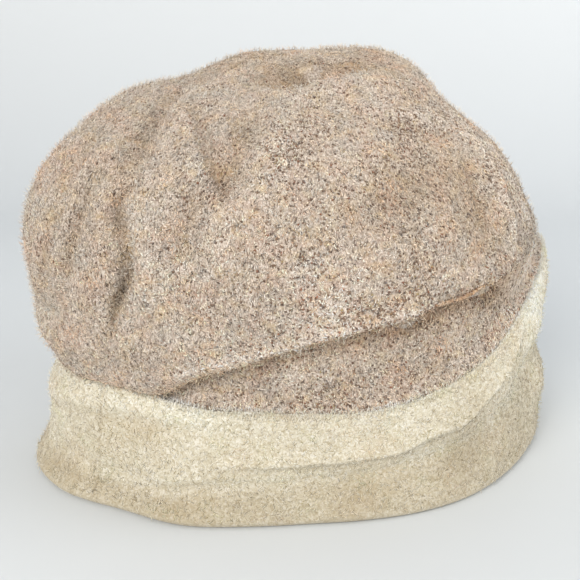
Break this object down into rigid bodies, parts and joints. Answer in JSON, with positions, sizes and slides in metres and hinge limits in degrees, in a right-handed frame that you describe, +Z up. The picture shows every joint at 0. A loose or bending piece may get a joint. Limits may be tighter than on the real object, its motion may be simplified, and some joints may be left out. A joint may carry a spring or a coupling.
{
  "type": "slouch beanie hat with a turned-up band",
  "caption": "Soft slouch hat of fulled tweed wool, its full crown folded over its own lower wall above a turned-up band of cream boiled wool; hollow and open underneath.",
  "frame": {"origin": "centre of the underside of the whole hat's box, on the surface that it rests on", "axes": "+Z up; +X along the long side of the oval towards the end where the band stands highest; -Y towards the front, where the slouch fold shows"},
  "size_m": [0.227, 0.1604, 0.1645],
  "materials": {
    "tweed_wool": "fulled tweed wool, warm beige-taupe with dark pits and scattered rust, ochre and cream fibres, fuzzy surface",
    "boiled_wool": "boiled and felted cream wool, matte, with curled fibres and a fuzzy surface"
  },
  "bodies": {
    "root": {"crown": "tweed_wool", "band": "boiled_wool"}
  },
  "joints": []
}
